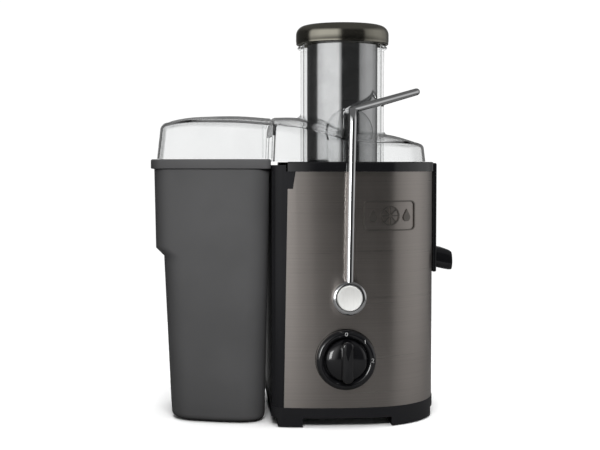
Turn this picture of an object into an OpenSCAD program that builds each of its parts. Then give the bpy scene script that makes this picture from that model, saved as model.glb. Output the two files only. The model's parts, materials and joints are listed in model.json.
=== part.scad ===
// Centrifugal juicer: motor housing, juice bowl, spinning strainer, clear lid with feed chute,
// pulp bin on the left, spout on the right, wire locking arm and rotary switch.
// +X points to the spout, -Y to the front, +Z up. The origin is at the middle of the footprint.

/* [Housing] */
// Distance from the arm's pivot axis to the right side of the housing
body_right = 90; // [88:1:92]
// Distance from the arm's pivot axis to the left side of the housing
body_left = 70; // [68:1:72]
// Front to back depth of the housing
body_depth = 192; // [188:1:196]
// Radius of the two corners beside the spout
corner_r = 74; // [70:1:76]
// Radius of the bulged front and back
front_r = 300; // [280:5:360]
// Height of the top edge of the steel wrap
body_top = 238; // [236:0.5:240]
// Height of the bottom edge of the steel wrap
skirt_top = 18.6; // [18:0.1:21]

/* [Lid and feed chute] */
// Offset of the feed chute from the arm's pivot axis
chute_x = 4; // [2:0.5:5]
// Outer diameter of the feed chute
chute_od = 83; // [82:0.5:84]
// Wall of the feed chute
chute_wall = 3; // [2.5:0.1:3.2]
// Height of the feed chute's mouth
chute_top = 362.5; // [350:0.5:370]
// Height of the lid above the pulp bin
lid_high = 287; // [284:0.5:288]
// Height of the lid beside the feed chute on the spout side
lid_low = 270; // [268:0.5:272]

/* [Pusher] */
// Outer diameter of the pusher sleeve
sleeve_d = 70; // [68:0.5:72]
// Outer diameter of the pusher cap
cap_d = 92; // [88:0.5:94]
// Height of the pusher cap
cap_h = 20.2; // [18:0.1:22]

/* [Pulp bin] */
// Reach of the bin's rim to the left of the arm's pivot axis
bin_reach = 184; // [182:1:186]
// Height of the underside of the bin's rim
bin_rim_z = 240.5; // [240:0.1:241]
// Wall of the bin
bin_wall = 2.4; // [2:0.1:3]

/* [Spout] */
// Reach of the spout to the right of the arm's pivot axis
spout_reach = 113; // [110:1:116]
// Outer width of the spout
spout_w = 38; // [34:1:42]

/* [Locking arm] */
// Diameter of the arm's wire
wire_d = 7; // [6:0.1:7]
// Height of the arm's pivot
pivot_z = 122; // [120:1:124]
// Distance of the arm's legs from the middle plane
leg_y = 104.5; // [104:0.5:106]
// Height of the wire where it crosses the lid
arm_top = 295; // [294:0.5:296]
// Reach of the arm's grip loop to the right
grip_x = 78.5; // [74:0.5:80]
// Distance that the arm leans to the right where it crosses the lid
arm_lean = 3; // [2:0.5:4]

/* [Control knob] */
// Distance of the knob's axis to the left of the arm's pivot
knob_left = 2.4; // [0:0.2:4]
// Height of the knob's axis
knob_z = 64; // [62:1:68]
// Outer radius of the fixed bezel
bezel_r = 28; // [27:0.5:29]
// Radius of the turning knob
knob_r = 20.6; // [20:0.1:20.7]
// Distance of the knob's grip face in front of the middle plane
knob_reach = 118; // [116:0.5:119]

/* [Motor] */
// Offset of the motor axis from the locking arm's pivot
motor_x = 10; // [9:0.5:11]
// Radius of the motor shaft
shaft_r = 4; // [3.5:0.1:4.2]
// Radius of the armature
armature_r = 19; // [18:0.5:19]

/* [Hidden] */
$fn = 96;

half_d = body_depth / 2;
// Rearmost face: the pivot cap at the back
rear_reach = 110;
// Shift that puts the footprint's middle at the origin
axis_x = (bin_reach - spout_reach) / 2;
axis_y = (knob_reach - rear_reach) / 2;
arc_x = -3;
left_corner_r = 12;
shell = 3.4;
wrap = 0.8;
rim_top = body_top + 9;
deck_z = 138.5;
deck_t = 3;
bowl_r = 75.5;
bowl_wall = 2.5;
bowl_floor = 146;
slot_y = 26;
slot_z = 142;
lid_z = rim_top + 0.3;
bin_top = bin_rim_z + 9;
lid_wall = 2.5;
chute_r = chute_od / 2;
chute_bottom = 180;
fit = 0.05;
fin_r = 22;
bin_bulge_r = 170;
bin_bulge_x = -78;

module at_axis() {
    translate([axis_x, axis_y, 0]) children();
}

module at_motor() {
    translate([axis_x + motor_x, axis_y, 0]) children();
}

// Cylinder along Y from y0 to y1
module y_rod(r, y0, y1) {
    translate([0, y1, 0]) rotate([90, 0, 0]) cylinder(r = r, h = y1 - y0);
}

// Polygon in the XZ plane, drawn out along Y from y0 to y1
module xz_prism(points, y0, y1) {
    translate([0, y1, 0]) rotate([90, 0, 0]) linear_extrude(y1 - y0) polygon(points);
}

module tube(r_out, r_in, h) {
    difference() {
        cylinder(r = r_out, h = h);
        translate([0, 0, -1]) cylinder(r = r_in, h = h + 2);
    }
}

// Middle of the front corner circle of a bulged plan, for a corner of radius r at x. The
// corner crosses the bulge at a very shallow angle instead of just touching it.
corner_cross = 0.05;
function corner_y(x, r, half, bulge_r, bulge_x) =
    bulge_r - half - sqrt(pow(bulge_r - r + corner_cross, 2) - pow(x - bulge_x, 2));

// Plan with flat ends and a bulged front and back that run smoothly into round corners:
// r[0] on the left, r[1] on the right. It is drawn in by g.
module bulged_plan(left, right, half, bulge_r, bulge_x, r, g) {
    x = [left + r[0], right - r[1]];
    y = [for (i = [0, 1]) corner_y(x[i], r[i], half, bulge_r, bulge_x)];
    meet = [for (i = [0, 1])
        bulge_x + (bulge_r - g) * (x[i] - bulge_x) / (bulge_r - r[i])];
    intersection() {
        translate([bulge_x, bulge_r - half]) circle(r = bulge_r - g);
        translate([bulge_x, half - bulge_r]) circle(r = bulge_r - g);
        union() {
            translate([meet[0], -half]) square([meet[1] - meet[0], 2 * half]);
            translate([left + g, y[0]]) square([x[0] - left + 1, -2 * y[0]]);
            translate([x[1] - 1, y[1]]) square([right - x[1] + 1 - g, -2 * y[1]]);
            for (i = [0, 1], s = [-1, 1])
                translate([x[i], s * y[i]]) circle(r = r[i] - g);
        }
    }
}

module body_plan(g = 0) {
    bulged_plan(-body_left, body_right, half_d, front_r, arc_x, [left_corner_r, corner_r], g);
}

module body_slab(g, z0, z1) {
    translate([0, 0, z0]) linear_extrude(z1 - z0) body_plan(g);
}

// Region that the steel wrap covers, seen from the front, run on past its ends by over
module steel_zone(over = 0) {
    xz_prism([
        [-59.4, skirt_top - over], [body_right + 10, skirt_top - over],
        [body_right + 10, body_top + over], [-48.5, body_top + over],
        [-51, body_top - 16], [-55.8, body_top - 16]
    ], -half_d - 10, half_d + 10);
}

// Cut-out in the right wall for the bowl's spout, open at the top
module spout_slot() {
    translate([70, -slot_y, slot_z]) cube([40, 2 * slot_y, 120]);
}

// Points of an arc from angle a0 up to, but not with, a1
function arc_points(cx, cy, r, a0, a1, n) = [
    for (i = [0 : n - 1])
        let (a = a0 + (a1 - a0) * i / n)
        [cx + r * cos(a), cy + r * sin(a)]
];

// The bin's plan as one outline, with bulged front and back and round corners r[0], r[1]
module bin_plan(left, right, half, r, g = 0) {
    xl = left + r[0];
    xr = right - r[1];
    yb = bin_bulge_r - half;
    yl = corner_y(xl, r[0], half, bin_bulge_r, bin_bulge_x);
    yr = corner_y(xr, r[1], half, bin_bulge_r, bin_bulge_x);
    al = asin((bin_bulge_x - xl) / (bin_bulge_r - r[0]));
    ar = asin((xr - bin_bulge_x) / (bin_bulge_r - r[1]));
    polygon(concat(
        arc_points(bin_bulge_x, yb, bin_bulge_r - g, -90 - al, ar - 90, 14),
        arc_points(xr, yr, r[1] - g, ar - 90, 0, 6),
        [[right - g, yr]],
        arc_points(xr, -yr, r[1] - g, 0, 90 - ar, 6),
        arc_points(bin_bulge_x, -yb, bin_bulge_r - g, 90 - ar, 90 + al, 14),
        arc_points(xl, -yl, r[0] - g, 90 + al, 180, 7),
        [[left + g, -yl]],
        arc_points(xl, yl, r[0] - g, 180, 270 - al, 7)
    ));
}

// Thin slice of the bin at a level: height, left, right, half depth and right corner
module bin_slice(level, g) {
    translate([0, 0, level[0]]) linear_extrude(0.1)
        bin_plan(level[1], level[2], level[3], [28, level[4]], g);
}

// The bin's tapering form with a step in its left side, drawn in by g
module bin_form(g, floor_z, top_z) {
    levels = [
        [floor_z, -165, -76, 75, 20],
        [157, -171.8, -72.7, 78.3, 18],
        [164, -180, -72.4, 78.5, 18],
        [top_z, -181, -71, 80, 17]
    ];
    for (i = [0 : 2]) hull() {
        bin_slice(levels[i], g);
        bin_slice(levels[i + 1], g);
    }
}

// Height of the lid's top at x: level over the bin, an S-curve down past the chute
function ease(t) = t * t * (3 - 2 * t);
function lid_height(x) =
    x < -60 ? lid_high :
    x > 25 ? lid_low :
    lid_high - (lid_high - lid_low) * ease((x + 60) / 85);

// Side view of the lid, drawn in by g
function lid_outline(g) = concat(
    [[-bin_reach + 6 + g, lid_z - 20]],
    [for (a = [0 : 15 : 90]) [
        -bin_reach + 6 + g + (46 - g) * (1 - cos(a)),
        bin_top + 0.5 + (lid_high - g - bin_top - 0.5) * sin(a)
    ]],
    [for (x = [-60 : 8.5 : 25]) [x, lid_height(x) - g]],
    [for (a = [90 : -15 : 0]) [
        body_right - 22 + (20 - g) * cos(a),
        lid_z + (lid_low - g - lid_z) * sin(a)
    ]],
    [[body_right - 2 - g, lid_z - 20]]
);

module lid_plan(g) {
    body_plan(3 + g);
    bulged_plan(-bin_reach + 6, -52, 77, bin_bulge_r, bin_bulge_x, [8, 8], g);
}

module lid_form(g, z_low) {
    intersection() {
        translate([0, 0, z_low]) linear_extrude(60) lid_plan(g);
        xz_prism(lid_outline(g), -half_d - 10, half_d + 10);
    }
}

// Points along a polyline whose inner corners are rounded to the given radii
function unit(v) = v / norm(v);
function corner_points(a, b, c, r, n) =
    let (
        u = unit(a - b),
        w = unit(c - b),
        half = acos(u * w) / 2,
        centre = b + unit(u + w) * r / sin(half),
        start = b + u * r / tan(half),
        finish = b + w * r / tan(half),
        e1 = unit(start - centre),
        e2 = unit((finish - centre) - e1 * ((finish - centre) * e1)),
        span = 180 - 2 * half
    )
    [for (i = [0 : n]) centre + r * (cos(span * i / n) * e1 + sin(span * i / n) * e2)];
function rounded_route(points, radii, n) = concat(
    [points[0]],
    [for (i = [1 : len(points) - 2])
        each corner_points(points[i - 1], points[i], points[i + 1], radii[i], n)],
    [points[len(points) - 1]]
);

// Frames carried along a route without twist, one side vector a point
function tangent(p, i) = unit(p[min(i + 1, len(p) - 1)] - p[max(i - 1, 0)]);
function flatten_to(v, t) = unit(v - t * (v * t));
function side_vectors(p, i = 0, last = [1, 0, 0]) =
    i >= len(p) ? [] :
    let (s = flatten_to(last, tangent(p, i))) concat([s], side_vectors(p, i + 1, s));

module swept_wire(route, r, sides) {
    count = len(route);
    s = side_vectors(route);
    rings = [for (i = [0 : count - 1])
        let (b = cross(tangent(route, i), s[i]))
        for (k = [0 : sides - 1])
            route[i] + r * (cos(360 * k / sides) * s[i] + sin(360 * k / sides) * b)];
    skin = [for (i = [0 : count - 2], k = [0 : sides - 1])
        [i * sides + k, (i + 1) * sides + k,
         (i + 1) * sides + (k + 1) % sides, i * sides + (k + 1) % sides]];
    ends = [
        [for (k = [0 : sides - 1]) k],
        [for (k = [sides - 1 : -1 : 0]) (count - 1) * sides + k]
    ];
    polyhedron(points = rings, faces = concat(skin, ends), convexity = 6);
}

// Route of the locking arm from the front pivot over the lid, round the grip and back
tip_y = 5.4;
cross_y = 64;
grip_z = arm_top + 22;
arm_route = rounded_route([
    [0, -leg_y, pivot_z + 5], [arm_lean, -leg_y, arm_top], [arm_lean, -cross_y, arm_top],
    [grip_x, -tip_y, grip_z], [grip_x, tip_y, grip_z],
    [arm_lean, cross_y, arm_top], [arm_lean, leg_y, arm_top], [0, leg_y, pivot_z + 5]
], [0, 12, 14, 10.8, 10.8, 14, 12, 0], 6);

// ---- base ----

foot_spots = [[-53.5, -76], [-53.5, 76], [52, -72], [52, 72]];

module base_tray() {
    color("#1b1b1d") at_axis() difference() {
        union() {
            difference() {
                body_slab(-0.6, 9, skirt_top);
                body_slab(2.2, 12, skirt_top + 1);
            }
            intersection() {
                body_slab(-0.6, 1.2, 12);
                union() {
                    for (s = [-1, 1]) {
                        translate([-65, s * 79 - 15, 0]) cube([23, 30, 12]);
                        translate([41.5, s * 72 - 24, 0]) cube([44, 48, 12]);
                    }
                }
            }
            for (s = [-1, 1])
                translate([-30, s * 52, 11]) cylinder(r = 5, h = skirt_top - 11);
            for (s = [-1, 1])
                translate([52, s * 52, 11]) cylinder(r = 5, h = skirt_top - 11);
        }
        for (p = foot_spots)
            translate([p[0], p[1], 0]) cylinder(r = 9.2, h = 3.2);
        for (x = [-30, 52], s = [-1, 1]) translate([x, s * 52, 0]) {
            translate([0, 0, 5]) cylinder(r = 2.1, h = 20);
            translate([0, 0, -1]) cylinder(r = 4.4, h = 10);
        }
        for (x = [-28 : 8 : 28])
            translate([x - 1.6, -26, 8]) cube([3.2, 52, 5]);
    }
}

module rubber_feet() {
    color("#303033") at_axis() for (p = foot_spots)
        translate([p[0], p[1], 0]) cylinder(r = 9, h = 3.1);
}

module base_screws() {
    color("#b9bcc0") at_axis() for (x = [-30, 52], s = [-1, 1])
        translate([x, s * 52, 0]) {
            translate([0, 0, 8.5]) cylinder(r = 2, h = 17);
            translate([0, 0, 6.5]) cylinder(r = 4, h = 2.5);
        }
}

// ---- housing ----

module housing() {
    color("#232326") at_axis() difference() {
        union() {
            difference() {
                body_slab(0, skirt_top, body_top + 6);
                body_slab(shell, skirt_top - 1, body_top + 7);
                translate([-57.3, -120, body_top]) cube([200, 240, 20]);
            }
            body_slab(shell - 0.5, deck_z, deck_z + deck_t);
            for (x = [-30, 52], s = [-1, 1])
                translate([x, s * 52, skirt_top + 0.5]) cylinder(r = 5, h = deck_z - skirt_top);
        }
        difference() {
            steel_zone(2);
            body_slab(wrap + 0.1, skirt_top - 3, body_top + 3);
        }
        spout_slot();
        for (x = [-30, 52], s = [-1, 1])
            translate([x, s * 52, skirt_top]) cylinder(r = 2, h = 15);
        translate([motor_x, 0, deck_z - 1]) {
            cylinder(r = 14.1, h = 6);
            for (x = [-27, 27], y = [-23, 23])
                translate([x, y, 0]) cylinder(r = 2.2, h = 6);
        }
        translate([0, 0, pivot_z]) y_rod(9.1, -110, -80);
        translate([0, 0, pivot_z]) y_rod(9.1, 80, 110);
        translate([-knob_left, 0, knob_z]) y_rod(bezel_r + 0.3, -110, -94);
        translate([-knob_left, 0, knob_z]) y_rod(9.2, -110, -80);
        translate([-30, 0, 45]) y_rod(7.1, 80, 110);
    }
}

module steel_wrap() {
    color("#8a837c") at_axis() difference() {
        intersection() {
            difference() {
                body_slab(0, skirt_top, body_top);
                body_slab(wrap, skirt_top - 1, body_top + 1);
            }
            steel_zone();
        }
        spout_slot();
        translate([0, 0, pivot_z]) y_rod(9.4, -110, 110);
        translate([-knob_left, 0, knob_z]) y_rod(bezel_r + 0.3, -110, -80);
        translate([-30, 0, 45]) y_rod(9.4, 80, 110);
    }
}

// Outline of the raised mark: a frame round a citrus slice between two drops
module emblem_outline() {
    difference() {
        rounded_square(51, 28, 4.5);
        rounded_square(48.6, 25.6, 3.3);
    }
    difference() {
        circle(r = 9.2);
        circle(r = 8);
    }
    for (a = [0 : 45 : 315])
        rotate(a) translate([1.6, -0.45]) square([6.6, 0.9]);
    for (s = [-1, 1]) translate([s * 16.6, -1.8]) {
        circle(r = 3.6);
        polygon([[-3.1, 1.8], [3.1, 1.8], [0, 7.9]]);
    }
}

module rounded_square(w, h, r) {
    square([w - 2 * r, h], center = true);
    square([w, h - 2 * r], center = true);
    for (sx = [-1, 1], sy = [-1, 1])
        translate([sx * (w / 2 - r), sy * (h / 2 - r)]) circle(r = r);
}

module emblem() {
    color("#6f6a65") at_axis() intersection() {
        difference() {
            body_slab(-0.85, 181, 213);
            body_slab(-0.05, 180, 214);
        }
        translate([39.5, 0, 197]) rotate([90, 0, 0]) linear_extrude(120) emblem_outline();
    }
}

module cord_gland() {
    color("#1d1d1f") at_axis() translate([-30, 0, 45]) difference() {
        union() {
            y_rod(7, 88, 94);
            y_rod(9, 94.6, 97);
            y_rod(7, 93, 96);
            y_rod(5.6, 96, 106);
            y_rod(8.6, 87, 89);
        }
        y_rod(3.6, 80, 120);
    }
}

// ---- bowl ----

module spout_duct(x0, w, g) {
    xz_prism([
        [x0, 163 - g], [92, 164 - g], [spout_reach - 6, 160.8 - g],
        [spout_reach - 1.5, 158 - g], [spout_reach, 150],
        [spout_reach - 1, 143 + g], [spout_reach - 6, 139.8 + g],
        [92, 143 + g], [x0, 146 + g]
    ], -w / 2, w / 2);
}

module bowl() {
    color("#1a1a1c") at_axis() difference() {
        union() {
            difference() {
                body_slab(-1.2, body_top, rim_top);
                body_slab(5, body_top - 1, rim_top + 1);
                translate([-157, -120, 200]) cube([100, 240, 100]);
            }
            difference() {
                body_slab(3.8, body_top, body_top + 2.5);
                translate([motor_x, 0, body_top - 1]) cylinder(r = bowl_r - 1, h = 5);
            }
            translate([motor_x, 0, bowl_floor]) {
                tube(bowl_r, bowl_r - bowl_wall, body_top + 2.5 - bowl_floor);
                cylinder(r = bowl_r - 1, h = bowl_wall);
                cylinder(r = 14, h = 18);
            }
            translate([body_right + 0.3, -29, 139]) cube([4.2, 58, rim_top - 139]);
            intersection() {
                spout_duct(bowl_r + motor_x - 1.5, spout_w, 0);
                translate([spout_reach - 60, 0, 120]) cylinder(r = 60, h = 60);
            }
        }
        translate([motor_x, 0, bowl_floor - 1]) cylinder(r = 11.5, h = 30);
        spout_duct(bowl_r + motor_x - 6, spout_w - 5, 2.5);
        translate([spout_reach - 2, -spout_w / 2 + 2.5, 145.5])
            cube([6, spout_w - 5, 10]);
    }
}

module bowl_seal() {
    color("#b7b9bb") at_motor() translate([0, 0, deck_z + deck_t + 0.1]) tube(20, 15, 2.8);
}

// ---- lid ----

module lug(side) {
    translate([arm_lean, side * 73, 0]) difference() {
        intersection() {
            translate([0, 0, arm_top - 20]) y_rod(fin_r, -1.8, 1.8);
            translate([-40, -5, lid_low - 4]) cube([80, 10, 60]);
        }
        translate([0, 0, arm_top]) y_rod(3.9, -5, 5);
        translate([-3.9, -5, arm_top]) cube([7.8, 10, 10]);
    }
}

module lid() {
    color("#dfe4e6", 0.35) at_axis() difference() {
        union() {
            difference() {
                lid_form(0, lid_z);
                lid_form(lid_wall, lid_z - 1);
            }
            translate([chute_x, 0, chute_bottom])
                tube(chute_r, chute_r - chute_wall, chute_top - chute_bottom);
            lug(-1);
            lug(1);
        }
        translate([-250, -120, 200]) cube([250 - body_left - 0.6, 240, bin_top + 0.3 - 200]);
        translate([chute_x, 0, chute_bottom - 1])
            cylinder(r = chute_r - chute_wall, h = chute_top - chute_bottom + 2);
    }
}

// ---- pusher ----

module pusher_sleeve() {
    color("#c9cbcd") at_axis() translate([chute_x, 0, 192])
        tube(sleeve_d / 2, sleeve_d / 2 - 1, chute_top + 0.3 - 192);
}

module pusher_cap() {
    cap_r = cap_d / 2;
    edge = 5;
    z = chute_top + 0.3;
    color("#37332f") at_axis() translate([chute_x, 0, z]) {
        difference() {
            union() {
                cylinder(r = cap_r, h = cap_h - edge);
                translate([0, 0, cap_h - edge]) rotate_extrude() {
                    intersection() {
                        translate([cap_r - edge, 0]) circle(r = edge);
                        square([cap_r, edge]);
                    }
                    square([cap_r - edge, edge]);
                }
            }
            translate([0, 0, -1]) cylinder(r = cap_r - 3, h = 5);
        }
        translate([0, 0, 0]) tube(sleeve_d / 2, sleeve_d / 2 - 3, 5);
    }
}

module pusher_plug() {
    color("#2a2a2c") at_axis() translate([chute_x, 0, 186]) {
        cylinder(r = chute_r - 4, h = 6);
        translate([0, 0, 5]) tube(sleeve_d / 2 - 1.1, sleeve_d / 2 - 3, 16);
    }
}

// ---- spinning parts ----

module strainer_basket() {
    color("#b4b8bb") at_motor() rotate_extrude() polygon([
        [48.8, 167], [51, 167], [70.2, 229], [71, 229], [71, 232.5], [68.4, 232.5],
        [68.4, 230.4], [50, 170.6], [48.8, 170.6]
    ]);
}

module grater_disc() {
    color("#c3c6c8") at_motor() translate([0, 0, 168.4]) {
        cylinder(r = 48.7, h = 1.6);
        for (ring = [[14, 8], [24, 12], [34, 18], [43, 24]], i = [0 : ring[1] - 1])
            rotate(i * 360 / ring[1] + ring[0])
                translate([ring[0] - 1.4, -0.5, 1.2]) cube([2.8, 1, 1.9]);
    }
}

module basket_hub() {
    color("#2c2c2f") at_motor() {
        translate([0, 0, 156]) cylinder(r = 10, h = 9);
        translate([0, 0, 165]) cylinder(r = 48.5, h = 2);
        translate([0, 0, 167]) cylinder(r = 48.4, h = 1.4);
    }
}

module drive_coupling() {
    color("#3a3a3c") at_motor() translate([0, 0, 145]) difference() {
        union() {
            cylinder(r = 7, h = 11);
            for (a = [0 : 120 : 240])
                rotate(a) translate([0, -2, 0]) cube([9.6, 4, 11]);
        }
        translate([0, 0, -1]) cylinder(r = shaft_r, h = 9);
    }
}

module motor_shaft() {
    color("#a9adb1") at_motor() translate([0, 0, 30]) cylinder(r = shaft_r, h = 122);
}

module on_shaft(z, r, h) {
    translate([0, 0, z]) tube(r, shaft_r, h);
}

module armature() {
    color("#6d6f73") at_motor() {
        difference() {
            on_shaft(66, armature_r, 38);
            for (a = [0 : 30 : 330])
                rotate(a) translate([armature_r - 3, -1, 60]) cube([6, 2, 60]);
        }
        on_shaft(58.5, armature_r - 5, 7.5);
        on_shaft(104, armature_r - 5, 7);
    }
}

module commutator() {
    color("#b0703c") at_motor() difference() {
        on_shaft(46, 11, 12);
        for (a = [0 : 15 : 345])
            rotate(a) translate([10.2, -0.25, 45]) cube([3, 0.5, 14]);
    }
}

module cooling_fan() {
    color("#d8d8d4") at_motor() {
        on_shaft(115, 8, 8);
        on_shaft(115, 26, 1.2);
        for (a = [0 : 36 : 324])
            rotate(a) translate([7.5, -0.6, 115.6]) cube([18, 1.2, 7]);
    }
}

// ---- motor, fixed parts ----

module field_stack() {
    color("#58595c") at_motor() difference() {
        translate([-34, -30, 66]) cube([68, 60, 38]);
        translate([0, 0, 60]) cylinder(r = armature_r + 0.6, h = 50);
        for (s = [-1, 1])
            translate([-14, s * 23.5 - 3.5, 60]) cube([28, 7, 50]);
        for (x = [-27, 27], y = [-23, 23])
            translate([x, y, 60]) cylinder(r = 2.2, h = 50);
    }
}

module field_coils() {
    color("#a2562a") at_motor() for (s = [-1, 1]) {
        for (z = [57, 104])
            translate([0, 0, z]) intersection() {
                tube(26, armature_r + 1.6, 9);
                translate([-20, s * 16 - 13, 0]) cube([40, 26, 9]);
            }
        translate([-13.5, s * 23.5 - 3, 66]) cube([27, 6, 38]);
    }
}

module ball_bearing(z) {
    translate([0, 0, z]) {
        tube(11, 8.8, 7);
        tube(6.2, shaft_r + fit, 7);
        translate([0, 0, 1]) tube(8.8, 6.2, 5);
    }
}

module upper_bearing() {
    color("#c8cbce") at_motor() ball_bearing(128);
}

module lower_bearing() {
    color("#c8cbce") at_motor() ball_bearing(36);
}

module bearing_cup(z, bore_z) {
    difference() {
        translate([0, 0, z]) cylinder(r = 14, h = 10);
        translate([0, 0, bore_z]) cylinder(r = 11, h = 7.1);
        translate([0, 0, z - 1]) cylinder(r = 7, h = 20);
    }
}

module upper_bracket() {
    color("#9a9da1") at_motor() {
        bearing_cup(126, 127.95);
        difference() {
            translate([-34, -10, 126]) cube([68, 20, 3]);
            translate([0, 0, 120]) cylinder(r = 13.5, h = 20);
        }
        for (s = [-1, 1])
            translate([s * 32.2 - 1.8, -10, 104]) cube([3.6, 20, 22.5]);
    }
}

module lower_bracket() {
    color("#9a9da1") at_motor() {
        bearing_cup(34, 35.95);
        difference() {
            translate([-10, -30, 34]) cube([20, 60, 3]);
            translate([0, 0, 30]) cylinder(r = 13.5, h = 20);
        }
        for (s = [-1, 1])
            translate([-10, s * 28.3 - 1.7, 36.5]) cube([20, 3.4, 29.5]);
    }
}

module brush_holders() {
    color("#7d5a2c") at_motor() for (s = [-1, 1])
        translate([s * 21.5 - 8.5, 0, 52]) difference() {
            translate([0, -5.5, -5]) cube([17, 11, 10]);
            translate([-1, -4.1, -3.6]) cube([19, 8.2, 7.2]);
        }
}

module carbon_brushes() {
    color("#2a2a2a") at_motor() for (s = [-1, 1])
        translate([s * 19.8 - 8.5, -4, 48.5]) cube([17, 8, 7]);
}

module rubber_dampers() {
    color("#222224") at_motor() for (x = [-27, 27], y = [-23, 23])
        translate([x, y, 128]) tube(7, 2.1, deck_z - 128);
}

module motor_screws() {
    color("#b9bcc0") at_motor() for (x = [-27, 27], y = [-23, 23])
        translate([x, y, 0]) {
            translate([0, 0, 62]) cylinder(r = 2, h = deck_z + deck_t - 62);
            translate([0, 0, 58]) cylinder(r = 4, h = 4, $fn = 6);
            translate([0, 0, 104.1]) tube(4, 2, 23.8);
        }
}

module shaft_seal() {
    color("#2b2b2d") at_motor() translate([0, 0, deck_z]) tube(14, shaft_r + fit, 2.6);
}

// ---- locking arm ----

module locking_arm() {
    color("#d9dcde") at_axis() swept_wire(arm_route, wire_d / 2, 16);
}

// Both ends of the arm: the shape drawn at the front and mirrored to the back
module both_ends() {
    for (s = [0, 1])
        mirror([0, s, 0]) translate([0, 0, pivot_z]) children();
}

module pivot_discs() {
    color("#d9dcde") at_axis() both_ends() difference() {
        union() {
            y_rod(16, -106, -96.4);
            y_rod(14.4, -108.5, -105);
        }
        translate([0, -leg_y, 4]) cylinder(r = wire_d / 2, h = 30);
        y_rod(5, -100, -90);
    }
}

module pivot_caps() {
    color("#b9bbbd") at_axis() both_ends() y_rod(11.5, -rear_reach, -108.5);
}

module pivot_pins() {
    color("#a4a8ac") at_axis() both_ends() {
        y_rod(5, -100, -82);
        y_rod(8, -82, -80);
    }
}

module pivot_bushes() {
    color("#e4e2da") at_axis() both_ends() difference() {
        union() {
            y_rod(9, -95.6, -84);
            y_rod(11.4, -92.2, -83);
        }
        y_rod(5 + fit, -110, -70);
    }
}

// ---- safety interlock behind the front pivot ----

module interlock_cam() {
    color("#d98f2b") at_axis() translate([0, 0, pivot_z]) {
        y_rod(8, -80, -74);
        intersection() {
            y_rod(11, -80, -74);
            translate([-2.5, -90, -12]) cube([5, 30, 12]);
        }
    }
}

module interlock_switch() {
    color("#26262a") at_axis() difference() {
        union() {
            translate([-10, -82, 96]) cube([20, 10, 10]);
            translate([-10, -92, 97]) cube([20, 11, 3]);
        }
        translate([-1.6, -78.6, 99]) cube([3.2, 3.2, 9]);
    }
}

module interlock_button() {
    color("#d0452f") at_axis() translate([-1.3, -78.3, 103]) cube([2.6, 2.6, 7.6]);
}

// ---- control ----

module knob_bezel() {
    color("#141416") at_axis() translate([-knob_left, -94.1, knob_z]) rotate([90, 0, 0]) {
        tube(bezel_r, knob_r + 0.4, 5);
        translate([0, 0, 4.9]) rotate_extrude() intersection() {
            translate([(bezel_r + knob_r + 0.4) / 2, 0]) circle(r = 4.6);
            translate([knob_r + 0.4, 0]) square([bezel_r - knob_r - 0.4, 5]);
        }
        tube(bezel_r - 1, 10, 1);
    }
}

module knob() {
    color("#1a1a1c") at_axis() translate([-knob_left, 0, knob_z]) difference() {
        union() {
            y_rod(knob_r, -104, -95.6);
            intersection() {
                translate([0, -104 + 46 - 5, 0]) sphere(r = 46);
                y_rod(knob_r, -110, -103.5);
            }
            translate([-5.2, -knob_reach, -15.3]) cube([10.4, 16, 30.6]);
            for (s = [-1, 1])
                translate([0, 0, s * 15.3]) y_rod(5.2, -knob_reach, -102);
        }
        y_rod(3, -108, -90);
    }
}

module knob_shaft() {
    color("#b9bcc0") at_axis() translate([-knob_left, 0, knob_z]) y_rod(3, -108, -74);
}

module rotary_switch() {
    color("#34343a") at_axis() translate([-knob_left, 0, knob_z]) difference() {
        union() {
            translate([-14, -92.2, -12]) cube([28, 22, 24]);
            y_rod(9, -95.2, -92);
            for (s = [-1, 1])
                translate([s * 8 - 1, -70.4, -3]) cube([2, 8, 6]);
        }
        y_rod(3 + fit, -110, -73);
    }
}

// ---- pulp bin ----

module pulp_bin() {
    color("#4a4a4c") at_axis() difference() {
        union() {
            bin_form(0, 2, bin_rim_z + 3);
            translate([0, 0, bin_rim_z]) linear_extrude(9)
                bin_plan(-bin_reach, -body_left - 0.6, 83, [24, 17]);
        }
        bin_form(bin_wall, 2 + bin_wall, bin_top + 2);
    }
}

base_tray();
rubber_feet();
base_screws();
housing();
steel_wrap();
emblem();
bowl();
bowl_seal();
lid();
pusher_sleeve();
pusher_cap();
pusher_plug();
strainer_basket();
grater_disc();
basket_hub();
drive_coupling();
shaft_seal();
motor_shaft();
armature();
commutator();
cooling_fan();
field_stack();
field_coils();
upper_bearing();
lower_bearing();
upper_bracket();
lower_bracket();
brush_holders();
carbon_brushes();
rubber_dampers();
motor_screws();
locking_arm();
pivot_discs();
pivot_caps();
pivot_pins();
pivot_bushes();
interlock_cam();
interlock_switch();
interlock_button();
knob();
knob_shaft();
knob_bezel();
rotary_switch();
pulp_bin();
cord_gland();
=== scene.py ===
import json
import math

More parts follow.
